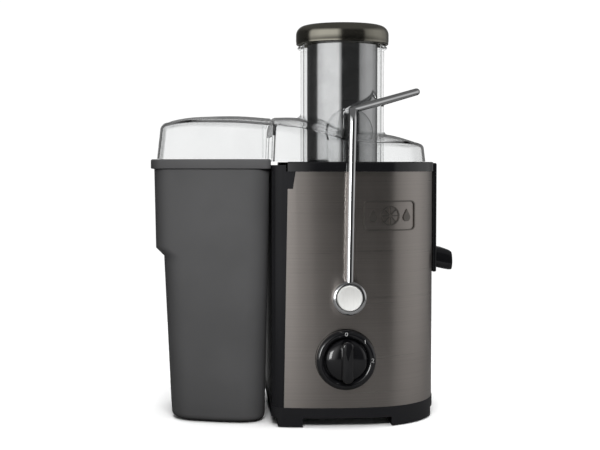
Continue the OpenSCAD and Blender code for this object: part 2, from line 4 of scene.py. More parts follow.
import bpy
import numpy as np
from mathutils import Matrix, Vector


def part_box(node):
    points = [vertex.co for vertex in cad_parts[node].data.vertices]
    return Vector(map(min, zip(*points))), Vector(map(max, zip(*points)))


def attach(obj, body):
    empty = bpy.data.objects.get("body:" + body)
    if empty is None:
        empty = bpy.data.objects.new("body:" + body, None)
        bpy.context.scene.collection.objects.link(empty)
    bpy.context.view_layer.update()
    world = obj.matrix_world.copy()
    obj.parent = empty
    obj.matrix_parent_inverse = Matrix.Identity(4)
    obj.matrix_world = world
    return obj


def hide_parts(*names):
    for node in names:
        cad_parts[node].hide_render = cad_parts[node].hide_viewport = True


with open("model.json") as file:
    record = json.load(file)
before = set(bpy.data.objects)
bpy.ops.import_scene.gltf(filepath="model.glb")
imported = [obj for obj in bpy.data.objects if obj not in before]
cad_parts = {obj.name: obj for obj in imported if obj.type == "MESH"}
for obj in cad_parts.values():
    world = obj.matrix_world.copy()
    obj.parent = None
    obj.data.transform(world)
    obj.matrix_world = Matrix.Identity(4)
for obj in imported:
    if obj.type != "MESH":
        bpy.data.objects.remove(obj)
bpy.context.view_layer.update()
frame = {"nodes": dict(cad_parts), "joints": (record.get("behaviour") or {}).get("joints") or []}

# Lengths below are millimetres in the pivot frame: x = y = 0 on the locking arm's axis, z = 0 on
# the table, +X to the spout, -Y to the front. place() turns them into the row frame's metres.
MM = 0.001
JOINTS = {joint["name"]: joint for joint in frame["joints"]}
ORIGIN = np.array(JOINTS["arm_swing"]["pos_m"]) * [1, 1, 0]


def span(node):
    """Lowest and highest corner of a CAD node in the pivot frame, in millimetres."""
    low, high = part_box(node)
    return (np.array(low) - ORIGIN) / MM, (np.array(high) - ORIGIN) / MM


def place(points):
    """Millimetres in the pivot frame to metres in the row frame."""
    return np.asarray(points, float) * MM + ORIGIN


BODY_LEFT = span("housing")[0][0]
BODY_RIGHT, BODY_HALF, BODY_TOP = span("steel_wrap")[1]
RIM_TOP = span("bowl")[1][2]
BIN_LOW, BIN_HIGH = span("pulp_bin")
MOTOR_X = (JOINTS["basket_spin"]["pos_m"][0] - ORIGIN[0]) / MM
PIVOT_Z = JOINTS["arm_swing"]["pos_m"][2] / MM
KNOB_X = (JOINTS["knob_turn"]["pos_m"][0] - ORIGIN[0]) / MM
KNOB_Z = JOINTS["knob_turn"]["pos_m"][2] / MM
SLEEVE_LOW, SLEEVE_HIGH = span("pusher_sleeve")
CAP_LOW, CAP_HIGH = span("pusher_cap")
CHUTE_X = (CAP_LOW[0] + CAP_HIGH[0]) / 2
CHUTE_TOP = span("lid")[1][2]
CHUTE_BOTTOM = span("lid")[0][2]
SPOUT_REACH = span("bowl")[1][0]
KNOB_FRONT = span("knob")[0][1]

# A bulge is the radius of the rounded front and back, and the x of its centre line
BODY_BULGE = (300.0, -3.0)
BIN_BULGE = (170.0, -78.0)
# Radii of the left and the right corners
BODY_CORNERS = (12.0, 74.0)
CHUTE_R = 41.5
CHUTE_WALL = 3.0
# How far the arm's wire leans to the right, and the height at which it crosses the lid
ARM_LEAN = 3.0
WIRE_Z = 295.0
QUARTER = math.pi / 2


# ---------------------------------------------------------------- outlines and profiles

def arc(cx, cy, r, a0, a1, n):
    """n points from angle a0 up to, but not with, a1."""
    a = np.linspace(a0, a1, n, endpoint=False)
    return np.stack([cx + r * np.cos(a), cy + r * np.sin(a)], 1)


def straight(a, b, n):
    """n points from a up to, but not with, b."""
    t = np.linspace(0, 1, n, endpoint=False)[:, None]
    return np.asarray(a) * (1 - t) + np.asarray(b) * t


def bulged_plan(left, right, half, bulge, corners, g=0.0, detail=1.0):
    """Outline with flat ends and a bulged front and back, drawn in by g, from the front left on."""
    bulge_r, bulge_x = bulge
    rl, rr = corners
    xl, xr = left + rl, right - rr
    yb = bulge_r - half
    yl = yb - math.sqrt((bulge_r - rl) ** 2 - (xl - bulge_x) ** 2)
    yr = yb - math.sqrt((bulge_r - rr) ** 2 - (xr - bulge_x) ** 2)
    al = math.asin((bulge_x - xl) / (bulge_r - rl))
    ar = math.asin((xr - bulge_x) / (bulge_r - rr))
    n = [max(2, int(k * detail)) for k in (26, 16, 10, 10, 8)]
    return np.concatenate([
        arc(bulge_x, yb, bulge_r - g, -QUARTER - al, -QUARTER + ar, n[0]),
        arc(xr, yr, rr - g, -QUARTER + ar, 0, n[1]),
        straight((right - g, yr), (right - g, -yr), n[2]),
        arc(xr, -yr, rr - g, 0, QUARTER - ar, n[1]),
        arc(bulge_x, -yb, bulge_r - g, QUARTER - ar, QUARTER + al, n[0]),
        arc(xl, -yl, rl - g, QUARTER + al, 2 * QUARTER, n[3]),
        straight((left + g, -yl), (left + g, yl), n[4]),
        arc(xl, yl, rl - g, 2 * QUARTER, 3 * QUARTER - al, n[3]),
    ])


def body_plan(g=0.0, detail=1.0):
    return bulged_plan(BODY_LEFT, BODY_RIGHT, BODY_HALF, BODY_BULGE, BODY_CORNERS, g, detail)


def at_height(outline, z):
    """Outline points with a height, or one height a point, added."""
    z = np.broadcast_to(np.asarray(z, float), len(outline))
    return np.column_stack([outline, z])


def circle_ring(cx, r, z, angles):
    """Points of a level circle round x = cx, y = 0."""
    return np.column_stack([cx + r * np.cos(angles), r * np.sin(angles), np.full(len(angles), z)])


def smooth_curve(xs, ys):
    """Smooth function through the points, with no overshoot between them."""
    xs, ys = np.asarray(xs, float), np.asarray(ys, float)
    slope = np.diff(ys) / np.diff(xs)
    inner = np.where(slope[:-1] * slope[1:] > 0,
                     2 * slope[:-1] * slope[1:] / (slope[:-1] + slope[1:] + 1e-12), 0.0)
    m = np.concatenate([[slope[0]], inner, [slope[-1]]])

    def value(x):
        x = np.clip(x, xs[0], xs[-1])
        i = np.clip(np.searchsorted(xs, x) - 1, 0, len(xs) - 2)
        h = xs[i + 1] - xs[i]
        t = (x - xs[i]) / h
        return ((2 * t ** 3 - 3 * t ** 2 + 1) * ys[i] + (t ** 3 - 2 * t ** 2 + t) * h * m[i]
                + (3 * t ** 2 - 2 * t ** 3) * ys[i + 1] + (t ** 3 - t ** 2) * h * m[i + 1])

    return value


# ---------------------------------------------------------------- meshes

def ring_faces(count, n, closed=False):
    """Quads between rings of n points; closed joins the last ring to the first."""
    faces = []
    for i in range(count if closed else count - 1):
        j = (i + 1) % count
        for k in range(n):
            m = (k + 1) % n
            faces.append((i * n + k, i * n + m, j * n + m, j * n + k))
    return faces


def fan(ring_start, n, centre, flip):
    """Triangles from a ring to a centre vertex."""
    faces = [(ring_start + k, ring_start + (k + 1) % n, centre) for k in range(n)]
    return [f[::-1] for f in faces] if flip else faces


def lofted(rings, closed=False, caps=(False, False)):
    """Vertices and faces over a stack of rings, with fans at the ends that caps names."""
    n = len(rings[0])
    verts = np.concatenate(rings)
    faces = ring_faces(len(rings), n, closed)
    if caps[0]:
        faces += fan(0, n, len(verts), True)
        verts = np.vstack([verts, rings[0].mean(0)])
    if caps[1]:
        faces += fan((len(rings) - 1) * n, n, len(verts), False)
        verts = np.vstack([verts, rings[-1].mean(0)])
    return verts, faces


def revolved(profile, segments, axis="z"):
    """Closed profile of (radius, height) points turned about an axis; radius 0 makes a pole."""
    angles = np.linspace(0, 2 * math.pi, segments, endpoint=False)
    rings = []
    for r, h in profile:
        rings.append(np.column_stack([r * np.cos(angles), r * np.sin(angles), np.full(segments, h)]))
    caps = (profile[0][0] < 1e-6, profile[-1][0] < 1e-6)
    if caps[0]:
        rings = rings[1:]
    if caps[1]:
        rings = rings[:-1]
    verts, faces = lofted(rings, closed=not any(caps), caps=caps)
    if caps[0]:
        verts[len(rings) * segments] = (0, 0, profile[0][1])
    if caps[1]:
        verts[-1] = (0, 0, profile[-1][1])
    if axis == "-y":
        verts = np.column_stack([verts[:, 0], -verts[:, 2], verts[:, 1]])
    return verts, faces


def merged(*meshes):
    """Several (vertices, faces) pairs as one."""
    verts, faces, base = [], [], 0
    for v, f in meshes:
        verts.append(np.asarray(v, float))
        faces += [tuple(i + base for i in face) for face in f]
        base += len(v)
    return np.concatenate(verts), faces


def swept(path, radius, sides, start=(1.0, 0.0, 0.0)):
    """Round bar along a path with flat ends."""
    path = np.asarray(path, float)
    tangents = np.gradient(path, axis=0)
    tangents /= np.linalg.norm(tangents, axis=1)[:, None]
    side = np.asarray(start, float)
    angles = np.linspace(0, 2 * math.pi, sides, endpoint=False)
    rings = []
    for p, t in zip(path, tangents):
        side = side - t * side.dot(t)
        side /= np.linalg.norm(side)
        up = np.cross(t, side)
        rings.append(p + radius * (np.cos(angles)[:, None] * side + np.sin(angles)[:, None] * up))
    return lofted(rings, caps=(True, True))


def prism(outline, low, high, axis="z"):
    """Outline drawn out between two heights, with flat ends."""
    n = len(outline)
    verts = np.concatenate([at_height(outline, low), at_height(outline, high)])
    faces = ring_faces(2, n) + [tuple(range(n - 1, -1, -1)), tuple(range(n, 2 * n))]
    if axis == "-y":
        verts = np.column_stack([verts[:, 0], -verts[:, 2], verts[:, 1]])
    return verts, faces


def box_mesh(low, high):
    verts = [(x, y, z) for x in (low[0], high[0])
             for y in (low[1], high[1]) for z in (low[2], high[2])]
    faces = [(0, 1, 3, 2), (4, 6, 7, 5), (0, 4, 5, 1), (2, 3, 7, 6), (0, 2, 6, 4), (1, 5, 7, 3)]
    return np.array(verts, float), faces


def new_object(name, data):
    obj = bpy.data.objects.new(name, data)
    bpy.context.scene.collection.objects.link(obj)
    return obj


def new_mesh(name, verts, faces):
    """Mesh data from vertices in the row frame's metres."""
    data = bpy.data.meshes.new(name)
    data.from_pydata(np.asarray(verts).tolist(), [], faces)
    return data


def piece(name, mesh, material, body, replaces=(), angle=32, bevel=0.0, segments=3):
    """One finished piece of the visual model, riding on a CAD body."""
    verts, faces = mesh
    data = new_mesh(name, place(verts), faces)
    data.validate()
    data.update()
    for poly in data.polygons:
        poly.use_smooth = True
    obj = new_object(name, data)
    if bevel:
        soften = obj.modifiers.new("edges", "BEVEL")
        soften.width = bevel * MM
        soften.segments = segments
        soften.limit_method = "ANGLE"
        soften.angle_limit = math.radians(30)
    data.set_sharp_from_angle(angle=math.radians(angle))
    data.materials.append(material)
    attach(obj, body)
    if replaces:
        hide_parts(*replaces)
    return obj


# ---------------------------------------------------------------- materials

def new_material(name, color, rough, metal=0.0, **sockets):
    """Principled material; extra sockets are named with underscores for spaces."""
    mat = bpy.data.materials.new(name)
    mat.use_nodes = True
    shader = mat.node_tree.nodes["Principled BSDF"]
    shader.inputs["Base Color"].default_value = (*color, 1)
    shader.inputs["Roughness"].default_value = rough
    shader.inputs["Metallic"].default_value = metal
    for key, value in sockets.items():
        shader.inputs[key.replace("_", " ")].default_value = value
    mat.diffuse_color = (*color, 1)
    return mat, mat.node_tree.nodes, mat.node_tree.links, shader


def object_noise(nodes, links, scale, detail=2.0, stretch=(1, 1, 1), rough=0.5):
    """Noise over the object's own metres; its output is the noise's value."""
    place_node = nodes.new("ShaderNodeTexCoord")
    mapping = nodes.new("ShaderNodeMapping")
    mapping.inputs["Scale"].default_value = stretch
    noise = nodes.new("ShaderNodeTexNoise")
    noise.inputs["Scale"].default_value = scale
    noise.inputs["Detail"].default_value = detail
    noise.inputs["Roughness"].default_value = rough
    links.new(place_node.outputs["Object"], mapping.inputs["Vector"])
    links.new(mapping.outputs["Vector"], noise.inputs["Vector"])
    return noise.outputs["Fac"]


def wire(links, value, socket):
    """Links a socket to another node's output, or sets it to a plain number or colour."""
    if isinstance(value, bpy.types.NodeSocket):
        links.new(value, socket)
    else:
        socket.default_value = value


def ramp(nodes, links, value, stops):
    """Colour ramp over a value; stops are pairs of a position and a colour."""
    node = nodes.new("ShaderNodeValToRGB")
    node.color_ramp.interpolation = "EASE"
    while len(node.color_ramp.elements) < len(stops):
        node.color_ramp.elements.new(0.5)
    for element, (at, color) in zip(node.color_ramp.elements, stops):
        element.position = at
        element.color = (*color, 1)
    links.new(value, node.inputs["Fac"])
    return node.outputs["Color"]


def remapped(nodes, links, value, source, target=(0.0, 1.0)):
    """A value taken from one range to another and held inside it."""
    node = nodes.new("ShaderNodeMapRange")
    for key, number in zip(("From Min", "From Max", "To Min", "To Max"), (*source, *target)):
        node.inputs[key].default_value = number
    links.new(value, node.inputs["Value"])
    return node.outputs["Result"]


def spread(nodes, links, value, low, high):
    """The middle of a noise's range taken to low ... high."""
    return remapped(nodes, links, value, (0.3, 0.7), (low, high))


def computed(nodes, links, operation, a, b):
    node = nodes.new("ShaderNodeMath")
    node.operation = operation
    wire(links, a, node.inputs[0])
    wire(links, b, node.inputs[1])
    return node.outputs["Value"]


def mixed(nodes, links, factor, a, b, blend="MIX"):
    """Colour a where the factor is 0, and b where it is 1."""
    node = nodes.new("ShaderNodeMix")
    node.data_type = "RGBA"
    node.blend_type = blend
    for key, value in (("Factor", factor), ("A", a), ("B", b)):
        wire(links, value, node.inputs[key])
    return node.outputs["Result"]


def bump(nodes, links, value, shader, strength, depth):
    node = nodes.new("ShaderNodeBump")
    node.inputs["Strength"].default_value = strength
    node.inputs["Distance"].default_value = depth
    links.new(value, node.inputs["Height"])
    links.new(node.outputs["Normal"], shader.inputs["Normal"])


def tinted(color, k):
    return tuple(min(1.0, c * k) for c in color)


def grey(value):
    return (value, value, value, 1)


def varied(nodes, links, value, color, share):
    """The colour made up to a share darker and lighter by a noise's value."""
    return ramp(nodes, links, value,
                [(0.3, tinted(color, 1 - share)), (0.7, tinted(color, 1 + share))])


def moulded(name, color, rough, grain=1800.0, depth=0.00003, vary=0.12, strength=0.25, **sockets):
    """Moulded plastic or rubber: fine spark grain, faint colour drift, uneven polish."""
    mat, nodes, links, shader = new_material(name, color, rough, **sockets)
    drift = object_noise(nodes, links, 14.0, 4.0)
    links.new(varied(nodes, links, drift, color, vary), shader.inputs["Base Color"])
    fine = object_noise(nodes, links, grain, 3.0)
    links.new(spread(nodes, links, fine, rough * 0.88, rough * 1.12), shader.inputs["Roughness"])
    bump(nodes, links, fine, shader, strength, depth)
    return mat


def brushed(name, color, rough, stretch, metal=1.0, contrast=0.16, depth=0.00002, **sockets):
    """Brushed metal: lines along the directions whose stretch is small."""
    mat, nodes, links, shader = new_material(name, color, rough, metal, **sockets)
    lines = object_noise(nodes, links, 1.0, 5.0, stretch, 0.65)
    links.new(varied(nodes, links, lines, color, contrast), shader.inputs["Base Color"])
    links.new(spread(nodes, links, lines, rough * 0.82, rough * 1.2), shader.inputs["Roughness"])
    bump(nodes, links, lines, shader, 0.22, depth)
    return mat


def polished(name, color, rough, vary=0.04):
    """Plated or polished metal with faint waves and wipe marks."""
    mat, nodes, links, shader = new_material(name, color, rough, 1.0)
    wave = object_noise(nodes, links, 60.0, 3.0)
    links.new(varied(nodes, links, wave, color, vary), shader.inputs["Base Color"])
    links.new(spread(nodes, links, wave, rough * 0.7, rough * 1.4), shader.inputs["Roughness"])
    bump(nodes, links, wave, shader, 0.05, 0.00005)
    return mat


def clear_plastic(name):
    """Thin clear moulding: seen straight through face on; glossier where it turns away, and greyer
    there by painted shade.
    """
    mat, nodes, links, shader = new_material(
        name, (0.94, 0.945, 0.945), 0.03, IOR=1.012, Transmission_Weight=1.0, Coat_Weight=0.35,
        Coat_Roughness=0.03, Coat_IOR=1.5)
    turned = nodes.new("ShaderNodeLayerWeight")
    turned.inputs["Blend"].default_value = 0.5
    # The grey at grazing angles is painted shade: it stands in for the dark outlines that refraction
    # gives along the lid's turned edges
    edge = ramp(nodes, links, turned.outputs["Facing"],
                [(0.0, (0.935, 0.94, 0.94)), (0.8, (0.95, 0.955, 0.955)), (0.93, (0.95, 0.955, 0.955)),
                 (0.98, (0.94, 0.945, 0.95)), (1.0, (0.80, 0.81, 0.82))])
    flow = object_noise(nodes, links, 26.0, 2.0)
    haze = ramp(nodes, links, flow, [(0.3, (0.97, 0.97, 0.97)), (0.7, (1.0, 1.0, 1.0))])
    links.new(mixed(nodes, links, 1.0, edge, haze, "MULTIPLY"), shader.inputs["Base Color"])
    links.new(spread(nodes, links, flow, 0.015, 0.05), shader.inputs["Roughness"])
    bump(nodes, links, flow, shader, 0.02, 0.0002)
    return mat


MATERIALS = {
    "steel": brushed("dark_brushed_steel", (0.55, 0.506, 0.474), 0.33, (5, 5, 1300),
                     contrast=0.05, depth=0.00001, Anisotropic=0.72, Anisotropic_Rotation=0.25),
    # The emblem is the wrap's steel painted darker, without the wrap's anisotropy: painted shade in
    # place of the shading on its raised strokes
    "mark": brushed("emblem_steel_painted_shade", (0.30, 0.28, 0.26), 0.45, (5, 5, 1300), contrast=0.05,
                    depth=0.00001),
    "housing": moulded("housing_black", (0.008, 0.008, 0.009), 0.24, 900, 0.00002, 0.1, 0.15,
                       Specular_IOR_Level=0.2),
    "shoulder": moulded("shoulder_grey", (0.055, 0.055, 0.057), 0.38, 900),
    "base": moulded("base_black", (0.008, 0.008, 0.009), 0.40, Specular_IOR_Level=0.3),
    "gloss": moulded("gloss_black", (0.003, 0.003, 0.0035), 0.12, 700, 0.00001, 0.1, 0.08,
                     Coat_Weight=0.5, Coat_Roughness=0.05),
    "bin": moulded("bin_grey", (0.060, 0.060, 0.061), 0.50, 1500, 0.00004, 0.08, 0.3),
    "rubber": moulded("soft_rubber", (0.02, 0.02, 0.021), 0.75, 1200, 0.00008, 0.15, 0.4),
    "silicone": moulded("grey_silicone", (0.45, 0.46, 0.47), 0.55, 800),
    "clear": clear_plastic("clear_lid_plastic"),
    "sleeve": polished("sleeve_steel", (0.74, 0.74, 0.745), 0.10),
    "strainer": brushed("strainer_steel", (0.62, 0.62, 0.63), 0.28, (400, 400, 60)),
    "cap": moulded("cap_brown", (0.36, 0.345, 0.29), 0.15, 2200, 0.00002, 0.06, 0.12,
                   Metallic=1.0),
    "chrome": polished("bright_chrome", (0.86, 0.865, 0.87), 0.05),
    "disc_face": brushed("brushed_disc", (0.80, 0.80, 0.78), 0.55, (900, 120, 120), 0.45,
                         contrast=0.04),
    "zinc": brushed("zinc_steel", (0.55, 0.56, 0.58), 0.35, (300, 300, 900)),
    "lamination": brushed("stacked_lamination", (0.18, 0.18, 0.19), 0.5, (8, 8, 2500)),
    "copper": brushed("lacquered_copper", (0.50, 0.20, 0.08), 0.35, (900, 900, 200)),
    "brass": brushed("brass_sheet", (0.60, 0.42, 0.16), 0.35, (500, 60, 500)),
    "bracket": brushed("cast_bracket", (0.50, 0.51, 0.52), 0.45, (200, 200, 200)),
    "fan": moulded("fan_nylon", (0.62, 0.61, 0.56), 0.5),
    "carbon": moulded("carbon_block", (0.02, 0.02, 0.021), 0.6),
    "cam": moulded("cam_amber", (0.62, 0.28, 0.05), 0.4),
    "switch": moulded("switch_case", (0.05, 0.05, 0.055), 0.45),
    "red": moulded("button_red", (0.55, 0.05, 0.03), 0.35),
    "print": moulded("dial_print", (0.30, 0.30, 0.30), 0.5, 600, 0.00001),
}

CAD_FINISH = {
    "steel": ["steel_wrap"],
    # The emblem takes the darker copy of the steel, which is painted shade
    "mark": ["emblem"],
    "housing": ["housing", "basket_hub", "drive_coupling", "pusher_plug"],
    "base": ["base_tray"],
    "rubber": ["rubber_feet", "shaft_seal", "rubber_dampers", "cord_gland"],
    "silicone": ["bowl_seal"],
    "strainer": ["strainer_basket", "grater_disc"],
    "zinc": ["base_screws", "motor_shaft", "upper_bearing", "lower_bearing", "motor_screws",
             "pivot_pins", "knob_shaft"],
    "lamination": ["armature", "field_stack"],
    "copper": ["commutator", "field_coils"],
    "brass": ["brush_holders"],
    "bracket": ["upper_bracket", "lower_bracket"],
    "fan": ["cooling_fan", "pivot_bushes"],
    "carbon": ["carbon_brushes"],
    "cam": ["interlock_cam"],
    "switch": ["interlock_switch", "rotary_switch"],
    "red": ["interlock_button"],
}


def finish_cad_nodes():
    """Gives each CAD node that no piece replaces its material."""
    for key, names in CAD_FINISH.items():
        for name in names:
            data = frame["nodes"][name].data
            data.materials.clear()
            data.materials.append(MATERIALS[key])


# ---------------------------------------------------------------- stage, light and camera

def make_stage():
    """Round pale floor, darker to bounced light so that it doesn't wash out the object's foot."""
    angles = np.linspace(0, 2 * math.pi, 96, endpoint=False)
    verts, faces = lofted([circle_ring(0, r, 0, angles) for r in (0.3, 0.7)], caps=(True, False))
    floor = new_object("floor", new_mesh("floor", verts, faces))
    mat, nodes, links, shader = new_material("pale_floor", (0.9, 0.9, 0.9), 0.8)
    cloud = object_noise(nodes, links, 3.0, 2.0)
    pale = ramp(nodes, links, cloud, [(0.3, (0.89, 0.89, 0.89)), (0.7, (0.91, 0.91, 0.91))])
    rays = nodes.new("ShaderNodeLightPath")
    seen = mixed(nodes, links, rays.outputs["Is Camera Ray"], grey(0.10), pale)
    links.new(seen, shader.inputs["Base Color"])
    floor.data.materials.append(mat)


def make_camera():
    """Camera 1.2 m from the arm's axis and a little to the left, looking slightly down."""
    camera = new_object("camera", bpy.data.cameras.new("camera"))
    camera.location = place([-121.6, -1194.4, 244.0])
    aim = Vector(place([-37.9, 2.65, 184.0]))
    camera.rotation_euler = (aim - camera.location).to_track_quat("-Z", "Y").to_euler()
    camera.data.lens = 72
    camera.data.sensor_width = 36
    bpy.context.scene.camera = camera


def area_light(name, at, aim, size, power, mirrored=False):
    """Soft panel; most aren't mirrored in the object, because the studio walls are."""
    data = bpy.data.lights.new(name, "AREA")
    data.shape = "RECTANGLE"
    data.size, data.size_y = size
    data.energy = power
    light = new_object(name, data)
    light.location = at
    light.rotation_euler = (Vector(aim) - Vector(at)).to_track_quat("-Z", "Y").to_euler()
    light.visible_glossy = mirrored
    light.visible_diffuse = not mirrored
    light.visible_transmission = False
    return light


# Brightness of the studio round the object, by turn from the front towards the spout's side
STUDIO = [(-180, 0.25), (-150, 0.05), (-100, 0.03), (-87, 0.80), (-58, 1.00), (-19, 1.00),
          (-12, 0.50), (-6, 0.03), (48, 0.03), (56, 0.32), (70, 0.42), (84, 0.50), (102, 0.50),
          (120, 0.36), (145, 0.12), (180, 0.20)]


def make_world():
    """Studio walls with dark and bright panels under a dark ceiling, against a white backdrop."""
    world = bpy.data.worlds.new("studio")
    bpy.context.scene.world = world
    world.use_nodes = True
    nodes, links = world.node_tree.nodes, world.node_tree.links
    where = nodes.new("ShaderNodeTexCoord")
    split = nodes.new("ShaderNodeSeparateXYZ")
    links.new(where.outputs["Generated"], split.inputs["Vector"])
    x, y, z = (split.outputs[axis] for axis in "XYZ")
    front = computed(nodes, links, "MULTIPLY", y, -1)
    turn = computed(nodes, links, "ARCTAN2", x, front)
    share = remapped(nodes, links, turn, (-math.pi, math.pi))
    walls = ramp(nodes, links, share, [((a + 180) / 360, (b, b, b)) for a, b in STUDIO])
    above_foot = remapped(nodes, links, z, (-0.30, 0.0), (0.25, 1.0))
    faded = mixed(nodes, links, above_foot, grey(0), walls)
    ceiling = remapped(nodes, links, z, (0.30, 0.62))
    room = mixed(nodes, links, ceiling, faded, grey(0.12))
    rays = nodes.new("ShaderNodeLightPath")
    fill = mixed(nodes, links, rays.outputs["Is Diffuse Ray"], room, grey(0.16))
    bounces = computed(nodes, links, "ADD", rays.outputs["Glossy Depth"],
                       rays.outputs["Diffuse Depth"])
    bounced = computed(nodes, links, "GREATER_THAN", bounces, 0.5)
    seen = mixed(nodes, links, bounced, grey(1.05), fill)
    links.new(seen, nodes["Background"].inputs["Color"])


def make_lights():
    """Soft panels, and one that only the dial and the arm take as a reflection."""
    area_light("key_panel", (0.9, -1.5, 1.1), (-0.05, 0, 0.2), (0.8, 0.8), 3)
    area_light("near_panel", (-0.05, -0.75, 0.47), (-0.11, 0, 0.22), (0.3, 0.2), 7.0)
    panel = area_light("knob_panel", (-0.8, -1.2, 0.25), (0, 0, 0.1), (0.4, 0.5), 5.0, True)
    lit = bpy.data.collections.new("lit_by_knob_panel")
    for name in ("dial_knob", "dial_bezel", "pivot_disc_front", "arm_wire"):
        lit.objects.link(bpy.data.objects[name])
    panel.light_linking.receiver_collection = lit
    area_light("right_panel", (1.5, -0.45, 0.9), (0.03, 0, 0.2), (0.6, 1.0), 8)
    area_light("top_panel", (0.0, 0.1, 1.8), (0, 0, 0), (1.6, 1.6), 34)
    area_light("back_panel", (-0.3, 1.6, 1.0), (0, 0, 0.2), (2.0, 1.2), 14)


# ---------------------------------------------------------------- pulp bin

BIN_FLOOR = 2.0
BIN_WALL = 2.4
BIN_RIM_Z = BIN_HIGH[2] - 9.0
# Outline of the bin's wall at heights: (z, left, right, half depth, right corner)
BIN_LEVELS = [
    (BIN_FLOOR, -165.0, -76.0, 75.0, 20.0),
    (24.0, -166.0, -75.5, 75.5, 19.8),
    (157.0, -171.8, -72.7, 78.3, 18.0),
    (164.5, -179.7, -72.5, 78.5, 18.0),
    (BIN_RIM_Z + 3, -181.0, -71.1, 80.0, 17.0),
]


def bin_outline(z, g):
    """Outline of the bin's wall at height z, drawn in by g."""
    rows = np.array(BIN_LEVELS)
    left, right, half, corner = (np.interp(z, rows[:, 0], rows[:, k]) for k in range(1, 5))
    return bulged_plan(left + g, right - g, half - g, BIN_BULGE,
                       (30.0 - g, max(corner - g, 3.0)), 0.0, 1.3)


def rim_outline(g):
    """Outline of the bin's rim, drawn in by g."""
    return bulged_plan(BIN_LOW[0] + g, BIN_HIGH[0] - g, BIN_HIGH[1] - g, BIN_BULGE,
                       (24.0 - g, max(5.0 - g, 2.0)), 0.0, 1.3)


def make_bin():
    """One shell: up the outside, over the rim and down the inside."""
    foot_r, lip_r, mouth_r, inner_r = 5.0, 0.8, 1.6, 6.0
    turn = np.linspace(0, QUARTER, 6)
    rings = [at_height(bin_outline(BIN_FLOOR, foot_r * (1 - math.sin(a))),
                       BIN_FLOOR + foot_r * (1 - math.cos(a))) for a in turn]
    for z in [20, 24, 60, 110, 150, 157, 159, 161, 163, 164.5, 167, 200, 230, BIN_RIM_Z - 1.2]:
        rings.append(at_height(bin_outline(z, 0), z))
    rings.append(at_height(bin_outline(BIN_RIM_Z, 0), BIN_RIM_Z - 0.4))
    for a in turn:
        rings.append(at_height(rim_outline(lip_r * (1 - math.sin(a))),
                               BIN_RIM_Z + lip_r * (1 - math.cos(a))))
    for a in turn:
        rings.append(at_height(rim_outline(mouth_r * (1 - math.cos(a))),
                               BIN_HIGH[2] - mouth_r * (1 - math.sin(a))))
    rings.append(at_height(rim_outline(5.2), BIN_HIGH[2]))
    rings.append(at_height(rim_outline(5.8), BIN_HIGH[2] - 0.6))
    for z in [BIN_RIM_Z, 200, 164.5, 157, 60, 12]:
        rings.append(at_height(bin_outline(z, BIN_WALL), z))
    floor_top = BIN_FLOOR + BIN_WALL
    for a in turn:
        rings.append(at_height(bin_outline(floor_top, BIN_WALL + inner_r * (1 - math.cos(a))),
                               floor_top + inner_r * (1 - math.sin(a))))
    piece("bin_shell", lofted(rings, caps=(True, True)), MATERIALS["bin"], "bin",
          ["pulp_bin"], angle=40)


# ---------------------------------------------------------------- lid

BIN_SEAT = BIN_HIGH[2] + 0.5
LID_Z = RIM_TOP + 0.3
LID_WALL = 2.5
HOOD_RIGHT = -67.0
# Height of the lid's front edge along x, and how much higher its middle is
hood_edge = smooth_curve([-178, -165, -140, -105, -64], [271, 279, 283, 284, 281.5])
HOOD_CROWN = 8.0
body_edge = smooth_curve([-68, -46, -22, -3, 20, 45, 66, 88],
                         [281, 279.5, 274.5, 269.5, 266.5, 264.5, 261.5, 256])
body_crown = smooth_curve([-68, -38, 20, 45, 70, 88], [9.5, 11.5, 10, 10, 7, 3])


def hood_plan(g):
    """Outline of the hood over the bin, drawn in by g except where it meets the cover."""
    return bulged_plan(BIN_LOW[0] + 6 + g, HOOD_RIGHT, 77 - g, BIN_BULGE,
                       (max(14 - g, 1.5), 1.5), 0.0, 1.2)


def hood_height(xy, g=0.0):
    """Height of the hood's top at outline points, lowered by g."""
    y = np.clip(np.abs(xy[:, 1]) / 76, 0, 1)
    return hood_edge(xy[:, 0]) - g + HOOD_CROWN * (1 - y ** 2)


def wall_rings(plan, height, bottom, lean, edge_r, inset):
    """Leaning wall and rounded edge of one skin of the lid, and the outline where its top starts."""
    level = plan(inset + lean + edge_r)
    top = height(level, inset) - edge_r
    rings = []
    for share in np.linspace(0, 1, 5):
        rings.append(at_height(plan(inset + lean * share), bottom + (top - bottom) * share))
    for a in np.linspace(0, QUARTER, 8)[1:]:
        rings.append(at_height(plan(inset + lean + edge_r * (1 - math.cos(a))),
                               top + edge_r * math.sin(a)))
    return rings, level


def hood_skin(edge_r, inset):
    """One skin of the hood: its wall, then its top in towards the middle."""
    centre = np.array([-118.0, 0.0])
    rings, level = wall_rings(hood_plan, hood_height, BIN_SEAT, 3.2, edge_r, inset)
    for share in [0.9, 0.78, 0.64, 0.5, 0.36, 0.22, 0.1]:
        outline = centre + (level - centre) * share
        rings.append(at_height(outline, hood_height(outline, inset)))
    return rings


def hood_mesh():
    """The part of the lid over the pulp bin."""
    rings = hood_skin(4.5, LID_WALL)[::-1] + hood_skin(6.5, 0.0)
    n = len(rings[0])
    verts = np.concatenate(rings)
    faces = ring_faces(len(rings), n)
    top_in, top_out = verts[:n].mean(0), verts[-n:].mean(0)
    top_in[2], top_out[2] = verts[:n, 2].max(), verts[-n:, 2].max()
    faces += fan(0, n, len(verts), True) + fan((len(rings) - 1) * n, n, len(verts) + 1, False)
    return np.vstack([verts, top_in, top_out]), faces


def body_height(xy, g=0.0):
    """Height of the cover's top at outline points, lowered by g."""
    y = np.clip(np.abs(xy[:, 1]) / 90, 0, 1)
    return body_edge(xy[:, 0]) - g + body_crown(xy[:, 0]) * (1 - y ** 2)


